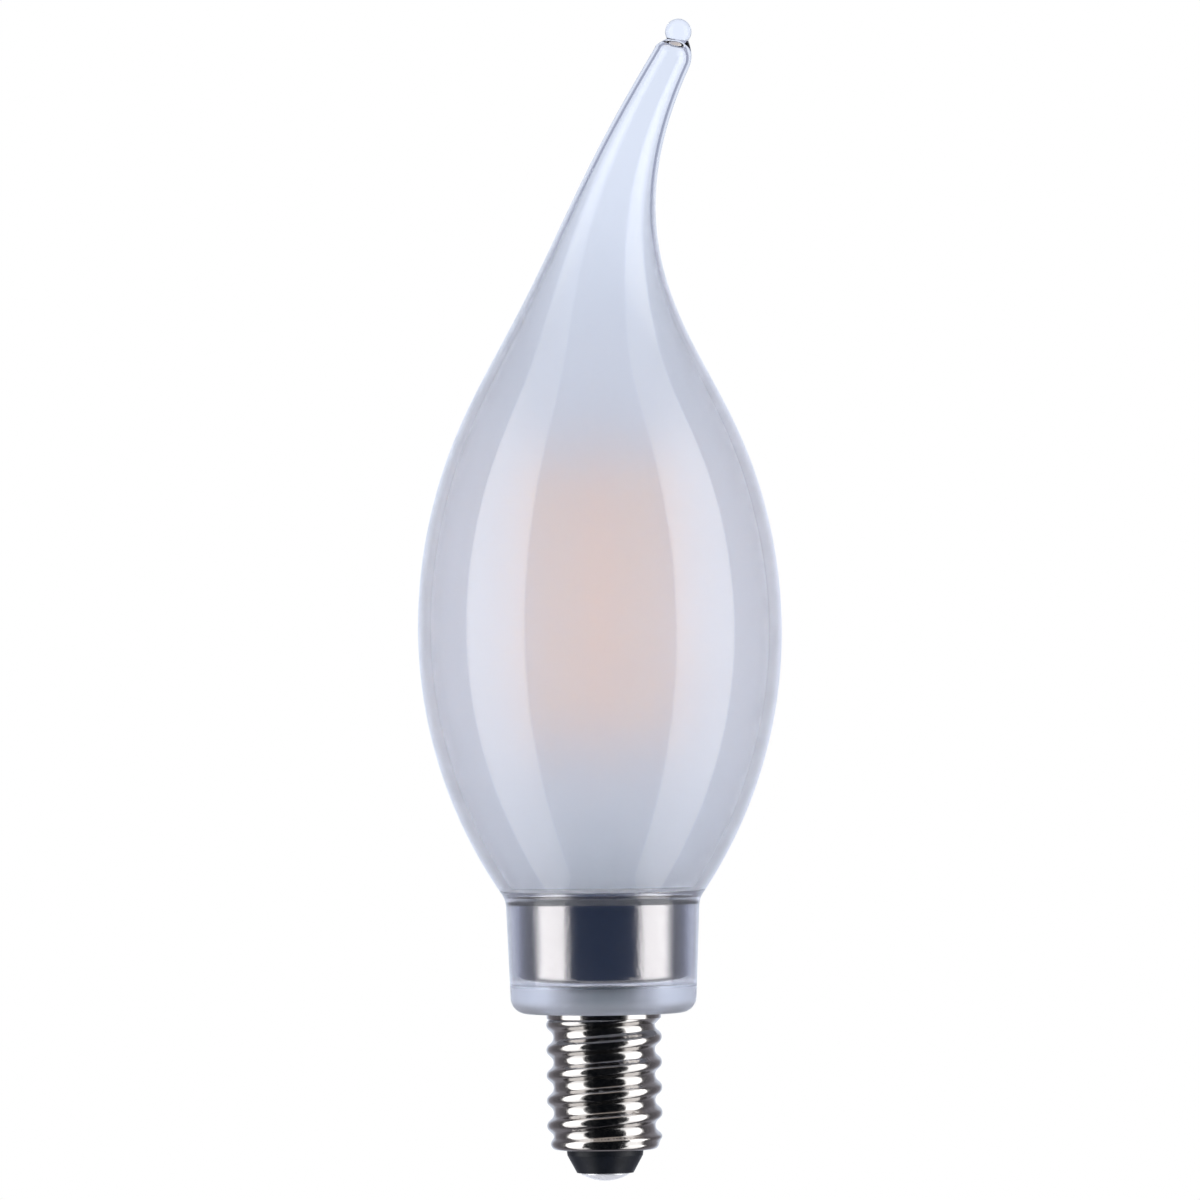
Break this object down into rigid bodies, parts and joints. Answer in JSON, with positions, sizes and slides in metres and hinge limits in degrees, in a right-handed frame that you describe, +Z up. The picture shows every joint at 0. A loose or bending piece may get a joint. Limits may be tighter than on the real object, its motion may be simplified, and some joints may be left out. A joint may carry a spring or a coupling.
{
  "type": "candle bulb",
  "caption": "Frosted candle lamp with a bent flame tip, a translucent collar over a bright metal sleeve and a small screw cap.",
  "frame": {"origin": "tip of the centre contact, on the axis of the screw cap", "axes": "+Z up the lamp's axis from the cap to the flame tip, +X the way the flame tip bends, +Y the third axis of a right-handed frame"},
  "size_m": [0.0366, 0.0366, 0.1167],
  "materials": {
    "contact_metal": "tinned, bright satin",
    "black_glass": "opaque black, glossy",
    "nickel_plate": "bright nickel plate on rolled sheet",
    "collar_plastic": "translucent, satin",
    "sleeve_metal": "bright drawn sheet with fine grain",
    "cement": "matte white",
    "frosted_glass": "frosted body, nearly clear drawn tip",
    "clear_glass": "clear",
    "lead_metal": "bright nickel-iron wire",
    "filament_coat": "yellow phosphor in silicone",
    "board": "green solder mask on glass-fibre board",
    "can_metal": "satin can",
    "ferrite": "dark ferrite with a wound waist",
    "chip_black": "moulded black, tinned legs",
    "resistor_coat": "blue-grey coat, metal ends",
    "copper_wire": "bare tinned copper"
  },
  "bodies": {
    "root": {"centre_contact": "contact_metal", "insulator": "black_glass", "screw_shell": "nickel_plate", "collar": "collar_plastic", "metal_sleeve": "sleeve_metal", "neck_cement": "cement", "glass_envelope": "frosted_glass", "glass_stem": "clear_glass", "lead_wire_left": "lead_metal", "lead_wire_right": "lead_metal", "filament_1": "filament_coat", "filament_2": "filament_coat", "filament_3": "filament_coat", "filament_4": "filament_coat", "filament_tabs": "lead_metal", "top_support": "lead_metal", "circuit_board": "board", "smoothing_capacitor": "can_metal", "inductor": "ferrite", "bridge_rectifier": "chip_black", "driver_chip": "chip_black", "fusible_resistor": "resistor_coat", "small_chips": "chip_black", "contact_wire": "copper_wire", "shell_wire": "copper_wire"}
  },
  "joints": []
}
